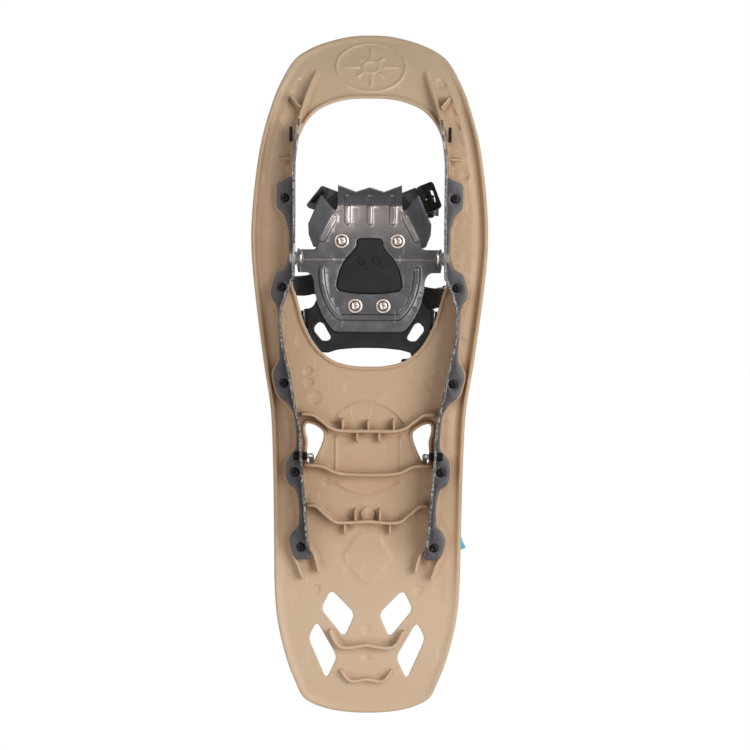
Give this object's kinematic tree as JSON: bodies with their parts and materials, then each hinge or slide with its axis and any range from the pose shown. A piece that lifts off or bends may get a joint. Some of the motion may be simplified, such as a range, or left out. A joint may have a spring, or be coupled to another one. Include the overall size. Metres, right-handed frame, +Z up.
{
  "type": "snowshoe",
  "caption": "Moulded-deck snowshoe with toothed side rails, pivoting crampon and binding, strap levers, swinging heel strap and flip-up heel lifter.",
  "frame": {"origin": "on the ground under the rail teeth, at the middle of the whole object's length and width", "axes": "+X to the side, toe at -Y, tail at +Y, +Z up from the ground through the deck"},
  "size_m": [0.1944, 0.5644, 0.116],
  "materials": {
    "deck_plastic": "fine satin texture, injection moulded",
    "rail_steel": "dark grey powder coat, bare on the blade's edge",
    "crampon_steel": "satin heat-treated steel",
    "zinc": "zinc plated",
    "black_plastic": "fine moulded texture",
    "black_screws": "black oxide",
    "pad_rubber": "fine grain",
    "strap_webbing": "ribbed elastomer strap",
    "cyan_grip": "soft moulded",
    "wire_steel": "zinc plated wire"
  },
  "bodies": {
    "deck_body": {"deck": "deck_plastic", "rail_left": "rail_steel", "rail_right": "rail_steel", "rail_pin_left": "black_screws", "rail_pin_right": "black_screws", "pivot_rivet_left": "zinc", "pivot_rivet_right": "zinc", "lifter_clip_left": "black_plastic", "lifter_clip_right": "black_plastic", "rail_screw_left_1": "black_screws", "rail_screw_left_2": "black_screws", "rail_screw_left_3": "black_screws", "rail_screw_left_4": "black_screws", "rail_screw_left_5": "black_screws", "rail_screw_right_1": "black_screws", "rail_screw_right_2": "black_screws", "rail_screw_right_3": "black_screws", "rail_screw_right_4": "black_screws", "rail_screw_right_5": "black_screws"},
    "binding": {"heel_rivet_left": "zinc", "instep_rivet_left": "black_plastic", "heel_rivet_right": "zinc", "instep_rivet_right": "black_plastic", "crampon_plate": "crampon_steel", "binding_base": "black_plastic", "base_rivet_1": "zinc", "base_washer_1": "zinc", "base_rivet_2": "zinc", "base_washer_2": "zinc", "base_rivet_3": "zinc", "base_washer_3": "zinc", "base_rivet_4": "zinc", "base_washer_4": "zinc", "anti_snow_pad": "pad_rubber", "pad_stud_1": "pad_rubber", "pad_stud_2": "pad_rubber", "toe_strap": "strap_webbing", "instep_strap": "strap_webbing", "toe_buckle": "black_plastic", "instep_buckle": "black_plastic", "instep_keeper": "black_plastic", "toe_buckle_pin": "zinc", "instep_buckle_pin": "zinc"},
    "toe_lever": {"toe_lever": "black_plastic"},
    "instep_lever": {"instep_lever": "black_plastic"},
    "heel_strap": {"heel_strap": "strap_webbing", "heel_strap_tail": "strap_webbing", "heel_strap_grip": "cyan_grip", "heel_buckle": "black_plastic"},
    "lifter": {"lifter_bail": "wire_steel", "heel_rest": "black_plastic"}
  },
  "joints": [
    {"name": "binding_pivot", "type": "hinge", "parent": "deck_body", "child": "binding", "pos_m": [0, -0.09045, 0.011], "axis": [1, 0, 0], "range_deg": [0, 75]},
    {"name": "heel_lift", "type": "hinge", "parent": "deck_body", "child": "lifter", "pos_m": [0, 0.07075, 0.0144], "axis": [1, 0, 0], "range_deg": [0, 90]},
    {"name": "toe_lever_hinge", "type": "hinge", "parent": "binding", "child": "toe_lever", "pos_m": [0.0503, -0.13675, 0.068], "axis": [0, 1, 0], "range_deg": [0, 80]},
    {"name": "instep_lever_hinge", "type": "hinge", "parent": "binding", "child": "instep_lever", "pos_m": [-0.0716, -0.06975, 0.064], "axis": [0, -1, 0], "range_deg": [0, 80]},
    {"name": "heel_strap_swing", "type": "hinge", "parent": "binding", "child": "heel_strap", "pos_m": [0, -0.04175, 0.052], "axis": [1, 0, 0], "range_deg": [0, 60]}
  ]
}
